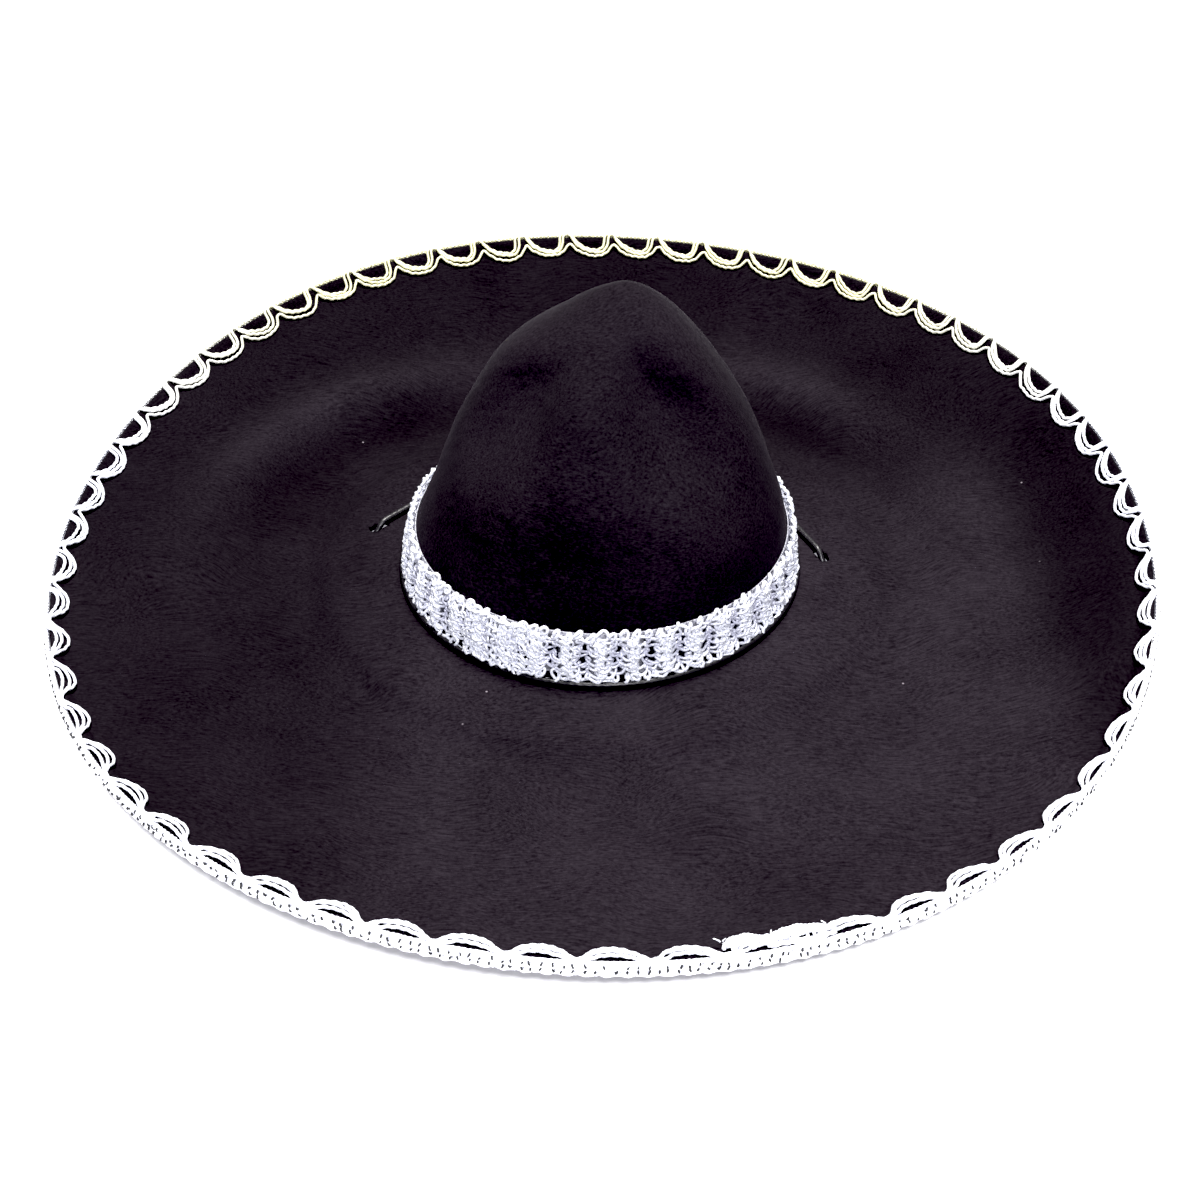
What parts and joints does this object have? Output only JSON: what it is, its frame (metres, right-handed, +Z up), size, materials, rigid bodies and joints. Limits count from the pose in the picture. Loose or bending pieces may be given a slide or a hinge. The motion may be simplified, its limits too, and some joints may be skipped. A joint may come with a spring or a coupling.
{
  "type": "sombrero",
  "caption": "Wide-brimmed black felt sombrero with an upturned brim, silver scalloped edge trim, a silver lace band round the crown and an adjustable chin cord.",
  "frame": {"origin": "on the table below the middle of the brim, with the hat lying on its brim", "axes": "+Z up through the crown, -Y towards the hat's front, +X towards the right of someone facing that front"},
  "size_m": [0.5598, 0.5598, 0.1675],
  "materials": {
    "felt": "needle-punched wool-like felt, matt, slight warm tint",
    "ribbon": "ribbed grosgrain ribbon",
    "label": "blank woven satin tape",
    "tinsel": "silver metallic yarn, bright and sparkling",
    "cord": "smooth round braided cord with a soft sheen",
    "slider": "moulded, satin"
  },
  "bodies": {
    "hat": {"brim_felt": "felt", "crown_felt": "felt", "sweatband": "ribbon", "care_label": "label", "hat_band": "tinsel", "hat_band_overlap": "tinsel", "edge_braid": "tinsel", "scallop_trim": "tinsel", "trim_overlap": "tinsel", "chin_cord_wrap": "cord", "chin_cord_left": "cord", "chin_cord_right": "cord", "cord_knot": "cord"},
    "slider": {"cord_slider": "slider"}
  },
  "joints": [
    {"name": "slider_slide", "type": "slide", "parent": "hat", "child": "slider", "axis": [-1, 0, 0], "range_m": [0, 0.055]}
  ]
}
